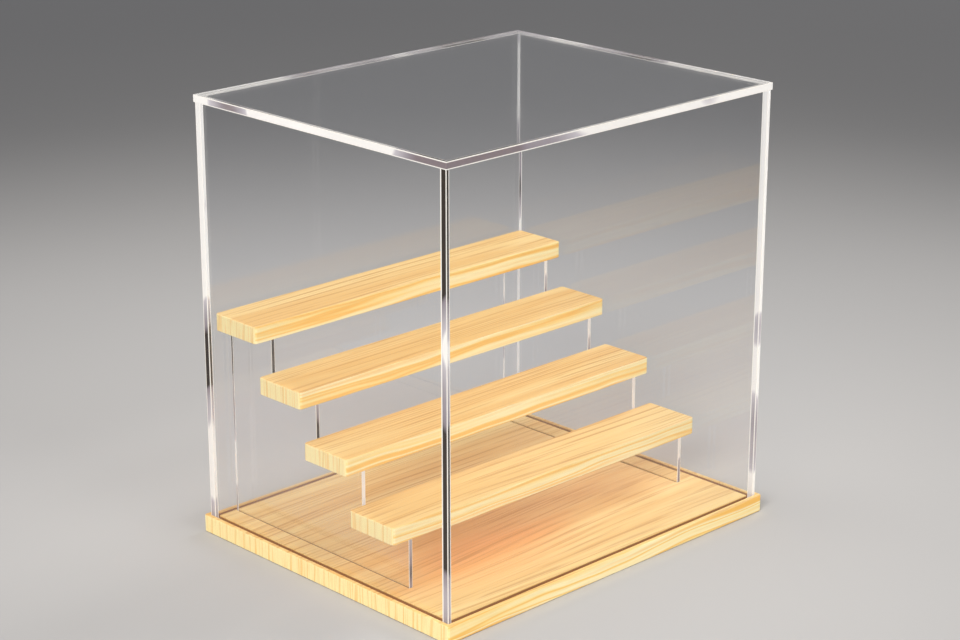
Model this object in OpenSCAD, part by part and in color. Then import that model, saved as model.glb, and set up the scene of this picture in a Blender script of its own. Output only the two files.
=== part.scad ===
// Clear display case on a wood base, with a stepped stand of four shelves.
// The cover is a five-sided box that drops into a groove in the base.
// The stand is two stepped side plates in slots, with a shelf resting on each pair of treads.
// Origin: centre of the base's underside. +X is the viewer's right, +Y the back, +Z up.

/* [Base] */
// Width of the base, left to right
base_w = 300; // [260:1:360]
// Depth of the base, front to back
base_d = 242.5; // [236:0.5:290]
// Thickness of the base
base_t = 12; // [9:0.5:20]
// Radius of the base's upright corners
base_corner_r = 2; // [1.5:0.5:6]
// Ledge of base left outside the walls, on each side
ledge = 3.5; // [2.5:0.5:6]
// Depth of the groove that holds the walls
groove_depth = 4; // [2:0.5:6]
// Depth of the slots that hold the side plates
slot_depth = 4; // [2:0.5:6]

/* [Cover] */
// Overall height of the case, from the base's underside to the cover's top
case_h = 304.5; // [260:0.5:400]
// Thickness of the clear walls
wall_t = 5; // [3:0.5:6]
// Thickness of the clear top
top_t = 5; // [3:0.5:8]
// How far the top stands out past the walls, on each side
top_overhang = 0.8; // [0:0.1:2]
// Free gap between a wall and each side of its groove
groove_gap = 0.5; // [0.2:0.05:0.8]

/* [Shelves] */
// Depth of each shelf, front to back
shelf_d = 41.5; // [30:0.5:43]
// Thickness of each shelf
shelf_t = 11.8; // [8:0.1:15]
// Radius of the shelves' upright corners
shelf_corner_r = 2.4; // [1.5:0.1:8]
// Free gap between a shelf's end and the wall beside it
shelf_end_gap = 1.5; // [1:0.5:6]
// Height of the bottom shelf's upper face above the base's upper face
first_rise = 44.8; // [30:0.1:60]
// Height from each shelf to the next
shelf_rise = 33.5; // [20:0.5:45]
// Distance from the base's front edge to the bottom shelf's front edge
first_setback = 57.8; // [50:0.1:64]

/* [Side plates] */
// Thickness of the side plates
plate_t = 3; // [2:0.5:4]
// Depth of one tread, which is also the step from shelf to shelf
tread = 44; // [44:0.5:45]
// Distance from a shelf's end to the side plate's outer face
plate_inset = 13.2; // [8:0.1:40]
// Free gap between a side plate and each side of its slots
slot_gap = 0.15; // [0.1:0.05:0.3]
// Free gap between a side plate and the back wall
plate_back_gap = 1.7; // [1.5:0.1:3]
// Height of the tongue on each tread that locates a shelf
tongue_h = 3; // [2:0.5:4]
// Length of each tongue, front to back
tongue_l = 24; // [10:1:26]

/* [Edges] */
// Bevel that eases every long edge of the wood
ease = 0.5; // [0.3:0.1:1.2]

/* [Hidden] */

$fn = 48;

wood = [0.90, 0.72, 0.45];
clear = [0.85, 0.90, 0.93, 0.35];

// Depth left spare under a tongue or foot in its slot, so that the faces above it carry the load
seat_spare = 0.5;
// Extra length that carries a cutting shape clear past a face
past = 1;

cover_w = base_w - 2 * ledge;
cover_d = base_d - 2 * ledge;
wall_z = base_t - groove_depth;
wall_h = case_h - top_t - wall_z;

front_y = -base_d / 2 + first_setback;
last_step = 3;
steps = [0:last_step];
shelf_w = cover_w - 2 * wall_t - 2 * shelf_end_gap;
plate_x = shelf_w / 2 - plate_inset;
plate_back_y = cover_d / 2 - wall_t - plate_back_gap;

// Front edge of a shelf, and the height of its underside
function step_y(i) = front_y + i * tread;
function step_z(i) = base_t + first_rise - shelf_t + i * shelf_rise;

// Flat outline with rounded corners, centred
module rounded_outline(w, d, r) {
    square([w, d - 2 * r], center = true);
    square([w - 2 * r, d], center = true);
    for (x = [-1, 1], y = [-1, 1])
        translate([x * (w / 2 - r), y * (d / 2 - r)])
            circle(r = r);
}

// One bevelled layer of a board: its outline grows by the bevel as it rises
module bevel_layer(w, d, r, bevel) {
    for (x = [-1, 1], y = [-1, 1])
        translate([x * (w / 2 - r), y * (d / 2 - r), 0])
            cylinder(h = bevel, r1 = r - bevel, r2 = r);
    translate([-(w / 2 - r), 0, 0])
        rotate([90, 0, 90])
            linear_extrude(w - 2 * r)
                bevel_profile(d, bevel);
    translate([0, d / 2 - r, 0])
        rotate([90, 0, 0])
            linear_extrude(d - 2 * r)
                bevel_profile(w, bevel);
}

// Section of a bevelled layer, wide side up
module bevel_profile(span, bevel) {
    polygon([
        [-span / 2 + bevel, 0],
        [span / 2 - bevel, 0],
        [span / 2, bevel],
        [-span / 2, bevel]
    ]);
}

// A wood board with rounded upright corners and every long edge eased
module eased_board(w, d, h, r, bevel) {
    bevel_layer(w, d, r, bevel);
    translate([0, 0, bevel])
        linear_extrude(h - 2 * bevel)
            rounded_outline(w, d, r);
    translate([0, 0, h])
        mirror([0, 0, 1])
            bevel_layer(w, d, r, bevel);
}

// The groove that runs round the base under the four walls
module wall_groove() {
    outer = groove_gap * 2;
    inner = -2 * wall_t - groove_gap * 2;
    translate([0, 0, wall_z])
        linear_extrude(groove_depth + past)
            difference() {
                square([cover_w + outer, cover_d + outer], center = true);
                square([cover_w + inner, cover_d + inner], center = true);
            }
}

// A slot in the base for the foot of one side plate
module foot_slot() {
    slot_w = plate_t + 2 * slot_gap;
    translate([plate_x - plate_t - slot_gap, front_y - slot_gap, base_t - slot_depth])
        cube([slot_w, plate_back_y - front_y + 2 * slot_gap, slot_depth + past]);
}

module base() {
    color(wood)
        difference() {
            eased_board(base_w, base_d, base_t, base_corner_r, ease);
            wall_groove();
            foot_slot();
            mirror([1, 0, 0])
                foot_slot();
        }
}

// Front and back walls run the full width of the cover
module long_wall(y) {
    color(clear)
        translate([-cover_w / 2, y, wall_z])
            cube([cover_w, wall_t, wall_h]);
}

// Side walls stand between the front and back walls
module side_wall(x) {
    color(clear)
        translate([x, -cover_d / 2 + wall_t, wall_z])
            cube([wall_t, cover_d - 2 * wall_t, wall_h]);
}

module front_panel() {
    long_wall(-cover_d / 2);
}

module back_panel() {
    long_wall(cover_d / 2 - wall_t);
}

module left_panel() {
    side_wall(-cover_w / 2);
}

module right_panel() {
    side_wall(cover_w / 2 - wall_t);
}

module top_panel() {
    top_w = cover_w + 2 * top_overhang;
    top_d = cover_d + 2 * top_overhang;
    color(clear)
        translate([-top_w / 2, -top_d / 2, case_h - top_t])
            cube([top_w, top_d, top_t]);
}

// Side view of a side plate: a column under each tread, with a tongue on top, and a foot
module plate_outline() {
    foot_z = base_t - slot_depth;
    for (i = steps) {
        tread_end = i == last_step ? plate_back_y : step_y(i + 1);
        tongue_y = step_y(i) + shelf_d / 2 - tongue_l / 2;
        translate([step_y(i), foot_z])
            square([tread_end - step_y(i), step_z(i) - foot_z]);
        translate([tongue_y, foot_z])
            square([tongue_l, step_z(i) + tongue_h - foot_z]);
    }
}

// A side plate whose outer face is at plate_x
module riser_plate() {
    color(clear)
        translate([plate_x - plate_t, 0, 0])
            rotate([90, 0, 90])
                linear_extrude(plate_t)
                    plate_outline();
}

module right_riser() {
    riser_plate();
}

module left_riser() {
    mirror([1, 0, 0])
        riser_plate();
}

// A blind slot in a shelf's underside for one tongue
module tongue_slot() {
    slot_w = plate_t + 2 * slot_gap;
    slot_l = tongue_l + 2 * slot_gap;
    translate([plate_x - plate_t - slot_gap, -slot_l / 2, -past])
        cube([slot_w, slot_l, tongue_h + seat_spare + past]);
}

// The shelf on step i, counted from the front
module shelf(i) {
    color(wood)
        translate([0, step_y(i) + shelf_d / 2, step_z(i)])
            difference() {
                eased_board(shelf_w, shelf_d, shelf_t, shelf_corner_r, ease);
                tongue_slot();
                mirror([1, 0, 0])
                    tongue_slot();
            }
}

module shelf_bottom() {
    shelf(0);
}

module shelf_lower() {
    shelf(1);
}

module shelf_upper() {
    shelf(2);
}

module shelf_top() {
    shelf(3);
}

base();
front_panel();
back_panel();
left_panel();
right_panel();
top_panel();
left_riser();
right_riser();
shelf_bottom();
shelf_lower();
shelf_upper();
shelf_top();
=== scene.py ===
"""Looks for the display case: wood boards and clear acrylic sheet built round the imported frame."""

import math

import bmesh
import bpy
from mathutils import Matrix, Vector


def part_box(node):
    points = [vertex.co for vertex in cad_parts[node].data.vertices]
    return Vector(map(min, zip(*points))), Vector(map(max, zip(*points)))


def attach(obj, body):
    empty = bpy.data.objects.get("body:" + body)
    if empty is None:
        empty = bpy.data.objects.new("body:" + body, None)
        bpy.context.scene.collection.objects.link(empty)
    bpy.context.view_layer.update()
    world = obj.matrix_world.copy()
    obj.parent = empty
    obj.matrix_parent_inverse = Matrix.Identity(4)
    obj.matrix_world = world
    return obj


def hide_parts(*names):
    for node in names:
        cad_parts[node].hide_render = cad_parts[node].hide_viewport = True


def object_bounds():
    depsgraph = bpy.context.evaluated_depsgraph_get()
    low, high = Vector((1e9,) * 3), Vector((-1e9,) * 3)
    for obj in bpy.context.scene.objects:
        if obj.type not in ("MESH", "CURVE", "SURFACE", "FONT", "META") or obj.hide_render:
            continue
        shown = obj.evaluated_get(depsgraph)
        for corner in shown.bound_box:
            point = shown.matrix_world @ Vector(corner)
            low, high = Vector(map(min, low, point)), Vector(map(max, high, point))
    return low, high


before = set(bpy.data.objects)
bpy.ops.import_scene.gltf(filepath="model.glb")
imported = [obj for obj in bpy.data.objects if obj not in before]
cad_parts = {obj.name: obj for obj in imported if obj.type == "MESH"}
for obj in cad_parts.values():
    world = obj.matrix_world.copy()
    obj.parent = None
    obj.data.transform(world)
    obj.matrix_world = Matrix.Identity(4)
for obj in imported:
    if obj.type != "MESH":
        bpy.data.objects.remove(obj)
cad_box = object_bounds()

MM = 0.001

# Wood boards
BASE_CORNER = 2.0 * MM
SHELF_CORNER = 2.4 * MM
ROUND_OVER = 0.5 * MM
GROOVE_ROUND = 0.15 * MM
GROOVE_CORNER = 0.6 * MM
GROOVE_GAP = 0.5 * MM
SLOT_GAP = 0.15 * MM
SLOT_SPARE = 0.5 * MM
CORNER_STEPS = 8
ROUND_STEPS = 5

# Acrylic sheet
SEAM = 0.03 * MM
PANE_BEVEL = 0.2 * MM
RISER_BEVEL = 0.15 * MM
BEVEL_STEPS = 2

# Reading the CAD meshes: vertices this close are one, faces this nearly level are one face, a face
# whose normal has this much of an axis is square to it, and heights this close are the same
MERGE = 0.001 * MM
FLAT_DEGREES = 1
SQUARE_ON = 0.99
SAME_HEIGHT = 0.01 * MM

# Every mesh: the angle where its shading breaks, and its two material slots
SHARP_DEGREES = 40
OUTSIDE, CUT = 0, 1

# Stage, in metres and degrees. Azimuth 0 is in front of the case and 90 is on its right.
FLOOR_RADIUS = 12
FLOOR_SIDES = 96
FLOOR_DROP = 0.2 * MM
CAMERA_AZIMUTH = -44.09
CAMERA_ELEVATION = 18.61
CAMERA_DISTANCE = 1.5694
AIM_FROM_CENTRE = Vector((-3.65, 1.87, -6.06)) * MM
LENS_MM = 87.84
SENSOR_MM = 36
VIEW_END = 100
WARM_WHITE = (1.0, 0.96, 0.90)
WORLD_GREY = (0.80, 0.80, 0.82, 1)
WORLD_STRENGTH = 0.25

# Soft boxes: name, azimuth, elevation, distance, width, height, spread, watts
LAMPS = (
    ("key_left", -66, 27, 2.0, 0.9, 0.8, 52, 3.75),
    ("fill_front", 6, 26, 2.0, 0.9, 0.7, 52, 1.7),
    ("top", -20, 80, 1.8, 0.9, 0.9, 80, 1.7),
    ("side_right", 95, 32, 1.8, 0.8, 0.5, 70, 2.2),
    ("side_back", -168, 32, 1.8, 0.5, 0.6, 70, 1.8),
)

SHELVES = ("shelf_bottom", "shelf_lower", "shelf_upper", "shelf_top")
PANELS = ("front_panel", "back_panel", "left_panel", "right_panel", "top_panel")
RISERS = ("left_riser", "right_riser")


# ---------------------------------------------------------------- meshes

def link_mesh(name, bm):
    """A new object from bm, smooth over its round edges and flat on its faces."""
    mesh = bpy.data.meshes.new(name)
    bmesh.ops.recalc_face_normals(bm, faces=bm.faces)
    bm.to_mesh(mesh)
    bm.free()
    for face in mesh.polygons:
        face.use_smooth = True
    mesh.set_sharp_from_angle(angle=math.radians(SHARP_DEGREES))
    piece = bpy.data.objects.new(name, mesh)
    bpy.context.scene.collection.objects.link(piece)
    normals = piece.modifiers.new("flat_faces_lead", "WEIGHTED_NORMAL")
    normals.mode = "FACE_AREA"
    normals.weight = 100
    normals.keep_sharp = True
    return piece


def rounded_loop(bm, lo, hi, inset, z, radius):
    """Vertices round a rectangle set in from lo and hi, with round corners."""
    corners = (
        (hi.x - inset - radius, hi.y - inset - radius),
        (lo.x + inset + radius, hi.y - inset - radius),
        (lo.x + inset + radius, lo.y + inset + radius),
        (hi.x - inset - radius, lo.y + inset + radius),
    )
    loop = []
    for quarter, (x, y) in enumerate(corners):
        for step in range(CORNER_STEPS + 1):
            turn = math.pi / 2 * (quarter + step / CORNER_STEPS)
            loop.append(bm.verts.new((x + radius * math.cos(turn), y + radius * math.sin(turn), z)))
    return loop


def bridge(bm, low, high):
    """A band of quads between two loops of the same length."""
    band = []
    for i, vert in enumerate(low):
        j = (i + 1) % len(low)
        band.append(bm.faces.new((vert, low[j], high[j], high[i])))
    return band


def rim(bm, loop):
    """The closed ring of edges through a loop, made where they're missing."""
    edges = []
    for i, vert in enumerate(loop):
        pair = (vert, loop[(i + 1) % len(loop)])
        edges.append(bm.edges.get(pair) or bm.edges.new(pair))
    return edges


def within(face, slots):
    """True if a flat face lies in one of the slots, seen from above."""
    x, y, _ = face.calc_center_median()
    return any(lo.x < x < hi.x and lo.y < y < hi.y for lo, hi in slots)


def cap(bm, loop, slots, depth):
    """Fills a loop round rectangular slots, each sunk by depth. Returns the slots' own faces."""
    edges = rim(bm, loop)
    z = loop[0].co.z
    cut = []
    for lo, hi in slots:
        corners = ((lo.x, lo.y), (hi.x, lo.y), (hi.x, hi.y), (lo.x, hi.y))
        mouth = [bm.verts.new((x, y, z)) for x, y in corners]
        floor = [bm.verts.new((x, y, z + depth)) for x, y in corners]
        cut += bridge(bm, mouth, floor)
        cut.append(bm.faces.new(floor))
        edges += rim(bm, mouth)
    filled = bmesh.ops.triangle_fill(bm, use_beauty=True, use_dissolve=False, edges=edges)["geom"]
    over_slots = [face for face in filled if isinstance(face, bmesh.types.BMFace) and within(face, slots)]
    bmesh.ops.delete(bm, geom=over_slots, context="FACES_ONLY")
    return cut


def quarter_round(inset, z, radius, start):
    """Points (inset, z) of a quarter circle about a centre; 0 degrees is outwards and 90 is up."""
    points = []
    for step in range(ROUND_STEPS + 1):
        turn = math.radians(start + 90 * step / ROUND_STEPS)
        points.append((inset - radius * math.cos(turn), z + radius * math.sin(turn)))
    return points


def board(name, node, corner, groove=None, top_slots=(), under_slots=(), slot_depth=0.0):
    """A wood board in a CAD node's box: rounded edges, an optional ring groove, and cut slots."""
    lo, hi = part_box(node)
    bm = bmesh.new()
    section = quarter_round(ROUND_OVER, lo.z + ROUND_OVER, ROUND_OVER, -90)
    section += quarter_round(ROUND_OVER, hi.z - ROUND_OVER, ROUND_OVER, 0)
    loops = [rounded_loop(bm, lo, hi, inset, z, corner - inset) for inset, z in section]
    plain = len(loops)
    if groove:
        outer, inner, floor_z = groove
        mouth_z = hi.z - GROOVE_ROUND
        section = quarter_round(outer - GROOVE_ROUND, mouth_z, GROOVE_ROUND, 90)
        section += [(outer, floor_z), (inner, floor_z)]
        section += quarter_round(inner + GROOVE_ROUND, mouth_z, GROOVE_ROUND, 0)
        loops += [rounded_loop(bm, lo, hi, inset, z, GROOVE_CORNER) for inset, z in section]
    cut = []
    for count, (low, high) in enumerate(zip(loops, loops[1:])):
        band = bridge(bm, low, high)
        if count >= plain:
            cut += band
    cut += cap(bm, loops[0], under_slots, slot_depth)
    cut += cap(bm, loops[-1], top_slots, -slot_depth)
    for face in cut:
        face.material_index = CUT
    piece = link_mesh(name, bm)
    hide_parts(node)
    return piece


def sheet(name, node, bevel):
    """A CAD node's own shape drawn in by a hair, so that touching sheets stay apart, with eased edges.

    Its material slots are OUTSIDE for its two faces and CUT for its edges. The attribute across runs
    from -1 to 1 over its thickness."""
    bm = bmesh.new()
    bm.from_mesh(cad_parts[node].data)
    bmesh.ops.remove_doubles(bm, verts=bm.verts, dist=MERGE)
    bmesh.ops.dissolve_limit(bm, angle_limit=math.radians(FLAT_DEGREES), verts=bm.verts, edges=bm.edges)
    bmesh.ops.recalc_face_normals(bm, faces=bm.faces)
    outward = {v: sum((f.normal for f in v.link_faces), Vector()) for v in bm.verts}
    for vert, way in outward.items():
        vert.co -= SEAM * Vector([max(-1, min(1, round(part))) for part in way])
    bmesh.ops.bevel(bm, geom=list(bm.edges), offset=bevel, segments=BEVEL_STEPS, profile=0.5,
                    affect="EDGES", clamp_overlap=True)
    lo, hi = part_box(node)
    size = hi - lo
    thin = min(range(3), key=lambda axis: size[axis])
    across = bm.verts.layers.float.new("across")
    for vert in bm.verts:
        vert[across] = (vert.co[thin] - (lo[thin] + hi[thin]) / 2) / (size[thin] / 2)
    for face in bm.faces:
        face.material_index = OUTSIDE if abs(face.normal[thin]) > SQUARE_ON else CUT
    piece = link_mesh(name, bm)
    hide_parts(node)
    return piece


# ---------------------------------------------------------------- shader graphs

class Graph:
    """A material's node tree, with short calls for the nodes used here."""

    def __init__(self, name):
        self.material = bpy.data.materials.new(name)
        self.material.use_nodes = True
        self.tree = self.material.node_tree
        self.tree.nodes.clear()

    def add(self, kind, inputs=None, **settings):
        """A node of a kind, with its settings, and its inputs set or linked by name or number."""
        node = self.tree.nodes.new("ShaderNode" + kind)
        for key, value in settings.items():
            setattr(node, key, value)
        for key, value in (inputs or {}).items():
            socket = node.inputs[key]
            if isinstance(value, bpy.types.NodeSocket):
                self.tree.links.new(value, socket)
            else:
                socket.default_value = value
        return node

    def millimetres(self, shift=(0, 0, 0)):
        """Position on the object in millimetres, moved by shift so that no two boards match."""
        metres = self.add("TexCoord").outputs["Object"]
        scaled = self.add("VectorMath", {0: metres, 1: (1000, 1000, 1000)}, operation="MULTIPLY").outputs[0]
        return self.add("VectorMath", {0: scaled, 1: shift}, operation="ADD").outputs[0]

    def math(self, operation, *values):
        """A sum on numbers or outputs."""
        return self.add("Math", dict(enumerate(values)), operation=operation).outputs[0]

    def split(self, vector):
        """The X, Y and Z outputs of a vector."""
        return self.add("SeparateXYZ", {0: vector}).outputs

    def noise(self, at, lengths, detail=2.0, roughness=0.5):
        """Noise from 0 to 1 about 0.5, with features of the given lengths in millimetres."""
        place = self.add("VectorMath", {0: at, 1: lengths}, operation="DIVIDE").outputs[0]
        settings = {"Vector": place, "Scale": 1.0, "Detail": detail, "Roughness": roughness}
        return self.add("TexNoise", settings).outputs[0]

    def ramp(self, factor, *stops):
        """A colour or grey ramp through (position, value) stops."""
        node = self.add("ValToRGB", {0: factor})
        elements = node.color_ramp.elements
        while len(elements) < len(stops):
            elements.new(0.5)
        for element, (position, value) in zip(elements, stops):
            element.position = position
            element.color = (*value, 1) if isinstance(value, tuple) else (value, value, value, 1)
        return node.outputs[0]

    def lines(self, position, spacing, wander, share):
        """Lines crossing position in millimetres: one every spacing, moved by wander spacings, and
        share of a spacing wide."""
        phase = self.math("ADD", self.math("DIVIDE", position, spacing), wander)
        away = self.math("ABSOLUTE", self.math("SUBTRACT", self.math("FRACT", phase), 0.5))
        return self.ramp(away, (0.3 * share, 1.0), (0.7 * share, 0.0))

    def mix(self, factor, a, b):
        """A mix of two colours."""
        node = self.add("Mix", {"Factor": factor}, data_type="RGBA")
        for index, value in ((6, a), (7, b)):
            if isinstance(value, bpy.types.NodeSocket):
                self.tree.links.new(value, node.inputs[index])
            else:
                node.inputs[index].default_value = (*value, 1)
        return node.outputs[2]

    def blend(self, factor, a, b):
        """A mix of two shaders."""
        return self.add("MixShader", {0: factor, 1: a, 2: b}).outputs[0]

    def finish(self, surface):
        """Makes surface the material's own, and returns the material."""
        self.add("OutputMaterial", {"Surface": surface})
        return self.material


# ---------------------------------------------------------------- wood

TOP_CREAM = (0.93, 0.68, 0.30)
TOP_HONEY = (0.84, 0.52, 0.18)
# Painted shade: the orange of the shade under the bottom shelf
UNDER_SHELF_SHADE = (0.97, 0.44, 0.14)
LINE = (0.56, 0.24, 0.05)
# Front, back and end colours, paler and yellower than the upper faces': partly the grain's own colour and
# partly painted light, the sides being lit more than the tops
EDGE_CREAM = (0.99, 0.88, 0.54)
EDGE_YELLOW = (0.97, 0.73, 0.29)
EDGE_AMBER = (0.94, 0.54, 0.12)
END_PALE = (1.0, 0.84, 0.43)
END_YELLOW = (0.98, 0.68, 0.28)
END_TAN = (0.86, 0.50, 0.13)
# Painted shade deep in the grooves and slots
CUT_DEPTH_SHADE = (0.34, 0.15, 0.065)

# Growth lines on the upper faces: spacing and width in millimetres, wander in spacings, strength
GROWTH_LINES = (
    (6.5, 1.7, 7, 0.58),
    (3.3, 1.0, 13, 0.50),
)

# Where each board lies in the wood's pattern, in millimetres; each shelf is one SHELF_SHIFT from the last
BASE_SHIFT = (805, 616, 439)
SHELF_SHIFT = Vector((310, 57, 23))
# Strength of the base's redder painted shade; the base's shift puts its patch under the bottom shelf
BASE_SHADE_STRENGTH = 0.5


def long_grain(g, at, shade_strength):
    """Colour of upper and lower faces: thin growth lines along X over honey and cream.

    The last argument is the strength of a redder painted shade in wide patches; the base's place in the
    pattern sets one under its bottom shelf."""
    x, y, z = g.split(at)
    bent = g.math("MULTIPLY_ADD", g.noise(at, (300, 90, 40), 1), 22, y)
    along = g.add("CombineXYZ", {0: x, 1: bent, 2: z}).outputs[0]
    tone = g.ramp(g.noise(along, (320, 15, 40), 2), (0.36, 0.0), (0.64, 1.0))
    colour = g.mix(tone, TOP_HONEY, TOP_CREAM)
    # Painted shade: a redder patch, which on the base lies under the bottom shelf
    shade_patch = g.ramp(g.noise(at, (260, 90, 60), 1), (0.50, 0.0), (0.62, shade_strength))
    colour = g.mix(shade_patch, colour, UNDER_SHELF_SHADE)
    marks = 0.0
    for spacing, width, wander, strength in GROWTH_LINES:
        drift = g.math("MULTIPLY", g.noise(at, (480, 90, 90), 2, 0.4), wander)
        rings = g.lines(y, spacing, drift, width / spacing)
        patch = g.ramp(g.noise(along, (110, 1.6 * spacing, 30), 2), (0.46, 0.0), (0.60, strength))
        rings = g.math("MULTIPLY", rings, patch)
        colour = g.mix(rings, colour, LINE)
        marks = g.math("MAXIMUM", rings, marks)
    return colour, marks


def edge_grain(g, at):
    """Colour of front and back edges: bold amber bands that drift slowly along X through cream, paler than
    the upper faces partly as painted light.
    """
    x, y, z = g.split(at)
    drift = g.noise(at, (130, 60, 30), 2)
    height = g.math("MULTIPLY_ADD", drift, 11, z)
    along = g.add("CombineXYZ", {0: x, 1: y, 2: height}).outputs[0]
    bands = g.noise(along, (420, 60, 5.0), 0.6)
    return g.ramp(bands, (0.26, EDGE_YELLOW), (0.36, EDGE_CREAM), (0.45, EDGE_YELLOW), (0.50, EDGE_AMBER),
                  (0.55, EDGE_YELLOW), (0.62, EDGE_CREAM), (0.74, EDGE_AMBER))


def end_grain(g, at):
    """Colour of the boards' ends: upright stripes, paler than the upper faces partly as painted light."""
    stripes = g.noise(at, (60, 3.4, 90), 3, 0.65)
    colour = g.ramp(stripes, (0.36, END_YELLOW), (0.46, END_PALE), (0.54, END_PALE), (0.62, END_YELLOW))
    stripe = g.lines(g.split(at)[1], 9, g.math("MULTIPLY", g.noise(at, (400, 40, 400), 1), 5), 0.12)
    return g.mix(g.math("MULTIPLY", stripe, 0.5), colour, END_TAN)


def pine(name, shift, shade_strength=0.0):
    """Clear-coated pale pine, cut along X."""
    g = Graph(name)
    at = g.millimetres(shift)
    normal = g.split(g.add("TexCoord").outputs["Normal"])
    front = g.ramp(g.math("ABSOLUTE", normal[1]), (0.55, 0.0), (0.80, 1.0))
    end = g.ramp(g.math("ABSOLUTE", normal[0]), (0.60, 0.0), (0.85, 1.0))
    colour, lines = long_grain(g, at, shade_strength)
    # Front, back and end faces take their paler colours: partly grain, partly painted light
    colour = g.mix(front, colour, edge_grain(g, at))
    arris = g.math("MULTIPLY", front, g.ramp(g.math("ABSOLUTE", normal[2]), (0.10, 0.0), (0.35, 1.0)))
    arris_patch = g.ramp(g.noise(at, (70, 70, 70), 1), (0.45, 0.0), (0.55, 0.45))
    colour = g.mix(g.math("MULTIPLY", arris, arris_patch), colour, LINE)
    colour = g.mix(end, colour, end_grain(g, at))
    fibre = g.noise(at, (28, 0.5, 0.8), 2, 0.6)
    colour = g.mix(g.ramp(fibre, (0.45, 0.0), (0.75, 0.16)), colour, LINE)
    cloud = g.noise(at, (60, 30, 30), 2)
    rough = g.math("MULTIPLY_ADD", cloud, 0.14, 0.30)
    rough = g.math("MULTIPLY_ADD", lines, 0.10, rough)
    relief = g.math("MULTIPLY_ADD", lines, -0.5, fibre)
    bump = g.add("Bump", {"Strength": 0.2, "Distance": 0.06 * MM, "Height": relief}).outputs[0]
    surface = g.add("BsdfPrincipled", {
        "Base Color": colour, "Roughness": rough, "Normal": bump,
        "Specular IOR Level": 0.4, "Coat Weight": 0.10, "Coat Roughness": 0.25,
    })
    return g.finish(surface.outputs[0])


def machined_wood(name, mouth_z):
    """Grooves and slots cut from mouth_z: bare wood at the mouth, darker further in with painted shade."""
    g = Graph(name)
    at = g.millimetres()
    bare = g.ramp(g.noise(at, (60, 3, 3), 2), (0.35, TOP_HONEY), (0.65, TOP_CREAM))
    depth = g.math("ABSOLUTE", g.math("SUBTRACT", g.split(at)[2], mouth_z / MM))
    # Painted shade: the cuts are painted darker the further they go below the mouth
    colour = g.mix(g.ramp(depth, (0.45, 0.0), (0.85, 1.0)), bare, CUT_DEPTH_SHADE)
    surface = g.add("BsdfPrincipled", {"Base Color": colour, "Roughness": 0.8, "Specular IOR Level": 0.2})
    return g.finish(surface.outputs[0])


# ---------------------------------------------------------------- acrylic

CLEAR = (0.985, 0.99, 1.0, 1)
SHADOW_TINT = (0.97, 0.975, 0.98, 1)
ACRYLIC_IOR = 1.49
FACE_HAZE = 0.05
EDGE_HAZE = 0.1

# Cut edges, all in painted light: how dark their darkest stretches of painted shade are, the other
# stretches' colours as painted reflections, and a painted highlight on each arris
EDGE_SHADE = (0.05, 0.04, 0.035)
TOP_EDGE_SHADE = (0.26, 0.22, 0.24)
EDGE_REFLECTED_GREY = (0.30, 0.27, 0.31)
EDGE_REFLECTED_LILAC = (0.60, 0.58, 0.64)
EDGE_REFLECTED_WHITE = (1.0, 1.0, 1.0)
ARRIS_HIGHLIGHT = (1.0, 0.99, 0.96)
# Places the painted reflections along the edges
EDGE_SHIFT = (-54, 492, -2)


def clear_body(g, at, haze):
    """Clear cast acrylic, faintly uneven and hazed in soft smudges."""
    rough = g.ramp(g.noise(at, (70, 70, 45), 3), (0.45, 0.0), (0.75, haze))
    wave = g.noise(at, (90, 90, 90), 1)
    bump = g.add("Bump", {"Strength": 0.03, "Distance": 1 * MM, "Height": wave}).outputs[0]
    return g.add("BsdfPrincipled", {
        "Base Color": CLEAR, "Roughness": rough, "Normal": bump,
        "IOR": ACRYLIC_IOR, "Transmission Weight": 1.0,
    }).outputs[0]


def let_lamps_through(g, surface):
    """Shadow and bounced rays pass straight through, so that light reaches the shelves."""
    clear = g.add("BsdfTransparent", {"Color": SHADOW_TINT}).outputs[0]
    path = g.add("LightPath").outputs
    soft = g.math("MAXIMUM", path["Is Shadow Ray"], path["Is Diffuse Ray"])
    return g.blend(soft, surface, clear)


def acrylic_face():
    """The sheets' clear faces."""
    g = Graph("acrylic_face")
    return g.finish(let_lamps_through(g, clear_body(g, g.millimetres(), FACE_HAZE)))


def acrylic_edge(name, shade):
    """A polished cut edge in painted light: a painted white highlight on each arris, painted reflections in
    stretches of white, lilac and shade between, and a painted glow.
    """
    g = Graph(name)
    at = g.millimetres(EDGE_SHIFT)
    tone = g.noise(at, (85, 85, 85), 1)
    # Painted reflections: stretches of shade, grey, lilac and white along each edge
    between = g.ramp(tone, (0.40, shade), (0.42, EDGE_REFLECTED_GREY), (0.51, EDGE_REFLECTED_LILAC), (0.53, EDGE_REFLECTED_WHITE))
    across = g.math("ABSOLUTE", g.add("Attribute", attribute_name="across").outputs["Fac"])
    # Painted highlight: a white line along each arris
    arris = g.ramp(across, (0.68, 0.0), (0.80, 1.0))
    colour = g.mix(arris, between, ARRIS_HIGHLIGHT)
    # The emission is a painted glow: the edges give light though they are no lamp
    shine = g.add("BsdfPrincipled", {
        "Base Color": colour, "Roughness": 0.15, "IOR": ACRYLIC_IOR,
        "Emission Color": colour, "Emission Strength": 0.25,
    }).outputs[0]
    glow = g.add("BsdfTranslucent", {"Color": colour}).outputs[0]
    body = g.blend(0.45, shine, glow)
    clarity = g.math("MULTIPLY_ADD", arris, -0.06, 0.08)
    return g.finish(let_lamps_through(g, g.blend(clarity, body, clear_body(g, at, EDGE_HAZE))))


# ---------------------------------------------------------------- the case

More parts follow.
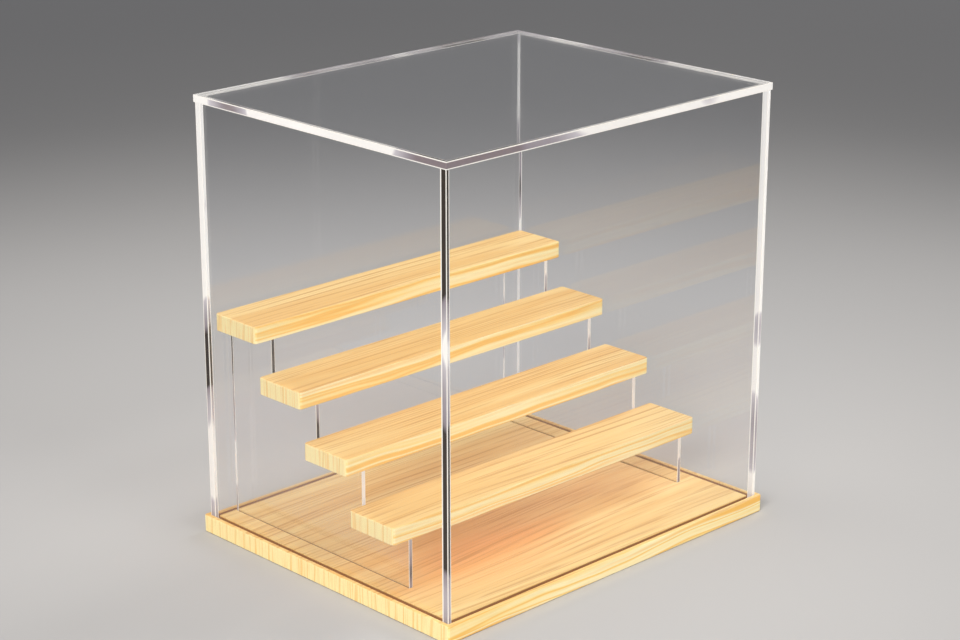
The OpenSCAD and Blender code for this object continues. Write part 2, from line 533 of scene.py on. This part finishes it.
def groove_section():
    """The base's ring groove: distance in to its outer and inner walls, and its floor."""
    base_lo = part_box("base")[0]
    wall_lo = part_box("front_panel")[0]
    side_lo, side_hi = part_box("left_panel")
    ledge = wall_lo.x - base_lo.x
    wall = side_hi.x - side_lo.x
    return ledge - GROOVE_GAP, ledge + wall + GROOVE_GAP, wall_lo.z


def build_base():
    """The base board, with its ring groove and the two slots for the side plates."""
    gap = Vector((SLOT_GAP, SLOT_GAP, 0))
    slots = [(lo - gap, hi + gap) for lo, hi in map(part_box, RISERS)]
    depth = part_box("base")[1].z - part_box("left_riser")[0].z
    base = board("base_board", "base", BASE_CORNER, groove_section(), top_slots=slots, slot_depth=depth)
    base.data.materials.append(pine("base_pine", BASE_SHIFT, BASE_SHADE_STRENGTH))
    base.data.materials.append(machined_wood("base_cuts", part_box("base")[1].z))
    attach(base, "base")


def tongue_ends():
    """Where the top tread's tongue starts and ends along Y."""
    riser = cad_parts["left_riser"].data
    crest = max(v.co.z for v in riser.vertices)
    ys = [v.co.y for v in riser.vertices if v.co.z > crest - SAME_HEIGHT]
    return min(ys), max(ys)


def build_shelves():
    """The four shelves, each with a slot underneath for the tongue of each tread that carries it."""
    start, end = tongue_ends()
    top_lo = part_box("shelf_top")[0]
    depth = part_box("left_riser")[1].z - top_lo.z + SLOT_SPARE
    for count, node in enumerate(SHELVES):
        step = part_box(node)[0].y - top_lo.y
        slots = []
        for riser in RISERS:
            lo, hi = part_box(riser)
            slots.append((Vector((lo.x - SLOT_GAP, start + step - SLOT_GAP, 0)),
                          Vector((hi.x + SLOT_GAP, end + step + SLOT_GAP, 0))))
        shelf = board(node + "_board", node, SHELF_CORNER, under_slots=slots, slot_depth=depth)
        shelf.data.materials.append(pine(node + "_pine", SHELF_SHIFT * count))
        shelf.data.materials.append(machined_wood(node + "_cuts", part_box(node)[0].z))
        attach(shelf, node)


def build_acrylic():
    """The cover's five sheets and the stand's two stepped plates."""
    face = acrylic_face()
    edge = acrylic_edge("acrylic_edge", EDGE_SHADE)
    top_edge = acrylic_edge("acrylic_top_edge", TOP_EDGE_SHADE)
    for nodes, suffix, bevel, slot, body in (
        (PANELS, "_sheet", PANE_BEVEL, "clear_acrylic", "cover"),
        (RISERS, "_plate", RISER_BEVEL, "riser_acrylic", "stand"),
    ):
        for node in nodes:
            piece = sheet(node + suffix, node, bevel)
            piece.data.materials.append(face)
            piece.data.materials.append(top_edge if node == "top_panel" else edge)
            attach(piece, body)


# ---------------------------------------------------------------- the stage

def direction(azimuth, elevation):
    """Unit vector from the case towards a viewer or lamp."""
    a, e = math.radians(azimuth), math.radians(elevation)
    return Vector((math.sin(a) * math.cos(e), -math.cos(a) * math.cos(e), math.sin(e)))


def place(name, data, position, target):
    """A lamp or camera at a position, looking at a target."""
    obj = bpy.data.objects.new(name, data)
    obj.location = position
    obj.rotation_mode = "QUATERNION"
    obj.rotation_quaternion = (target - position).to_track_quat("-Z", "Y")
    bpy.context.scene.collection.objects.link(obj)
    return obj


FLOOR_DARK = (0.46, 0.46, 0.47)
FLOOR_PALE = (0.49, 0.49, 0.50)
FLOOR_FAR = (0.97, 0.97, 0.98)


def floor_paint():
    """Plain pale paint with a faint, soft variation, paler far off so that no horizon shows."""
    g = Graph("floor_paint")
    at = g.millimetres()
    near = g.ramp(g.noise(at, (900, 900, 900), 2), (0.3, FLOOR_DARK), (0.7, FLOOR_PALE))
    metres = g.add("TexCoord").outputs["Object"]
    reach = g.add("VectorMath", {0: metres}, operation="LENGTH").outputs["Value"]
    far = g.ramp(g.math("DIVIDE", reach, FLOOR_RADIUS), (0.10, 0.0), (0.35, 1.0))
    colour = g.mix(far, near, FLOOR_FAR)
    surface = g.add("BsdfPrincipled", {"Base Color": colour, "Roughness": 1.0, "Specular IOR Level": 0.05})
    return g.finish(surface.outputs[0])


def build_floor(z):
    """A round floor at height z."""
    bm = bmesh.new()
    bmesh.ops.create_circle(bm, cap_ends=True, radius=FLOOR_RADIUS, segments=FLOOR_SIDES)
    mesh = bpy.data.meshes.new("floor")
    bm.to_mesh(mesh)
    bm.free()
    mesh.materials.append(floor_paint())
    floor = bpy.data.objects.new("floor", mesh)
    floor.location.z = z
    bpy.context.scene.collection.objects.link(floor)


def build_lights(centre):
    """The soft boxes, aimed at centre, and the even light of the room."""
    for name, azimuth, elevation, distance, width, height, spread, watts in LAMPS:
        lamp = bpy.data.lights.new(name, "AREA")
        lamp.shape = "RECTANGLE"
        lamp.size = width
        lamp.size_y = height
        lamp.spread = math.radians(spread)
        lamp.energy = watts
        lamp.color = WARM_WHITE
        place(name, lamp, centre + direction(azimuth, elevation) * distance, centre)
    world = bpy.data.worlds.new("studio")
    world.use_nodes = True
    background = world.node_tree.nodes["Background"].inputs
    background["Color"].default_value = WORLD_GREY
    background["Strength"].default_value = WORLD_STRENGTH
    bpy.context.scene.world = world


def build_camera(centre):
    """A camera that looks at a point near centre."""
    camera = bpy.data.cameras.new("camera")
    camera.sensor_width = SENSOR_MM
    camera.lens = LENS_MM
    camera.clip_end = VIEW_END
    aim = centre + AIM_FROM_CENTRE
    position = aim + direction(CAMERA_AZIMUTH, CAMERA_ELEVATION) * CAMERA_DISTANCE
    bpy.context.scene.camera = place("camera", camera, position, aim)


def set_rendering():
    """Plain colours, and enough bounces to see through several sheets."""
    scene = bpy.context.scene
    scene.view_settings.view_transform = "Standard"
    scene.cycles.max_bounces = 24
    scene.cycles.transmission_bounces = 24
    scene.cycles.glossy_bounces = 8
    scene.cycles.transparent_max_bounces = 32


lo, hi = cad_box
build_base()
build_shelves()
build_acrylic()
build_floor(lo.z - FLOOR_DROP)
build_lights((lo + hi) / 2)
build_camera((lo + hi) / 2)
set_rendering()
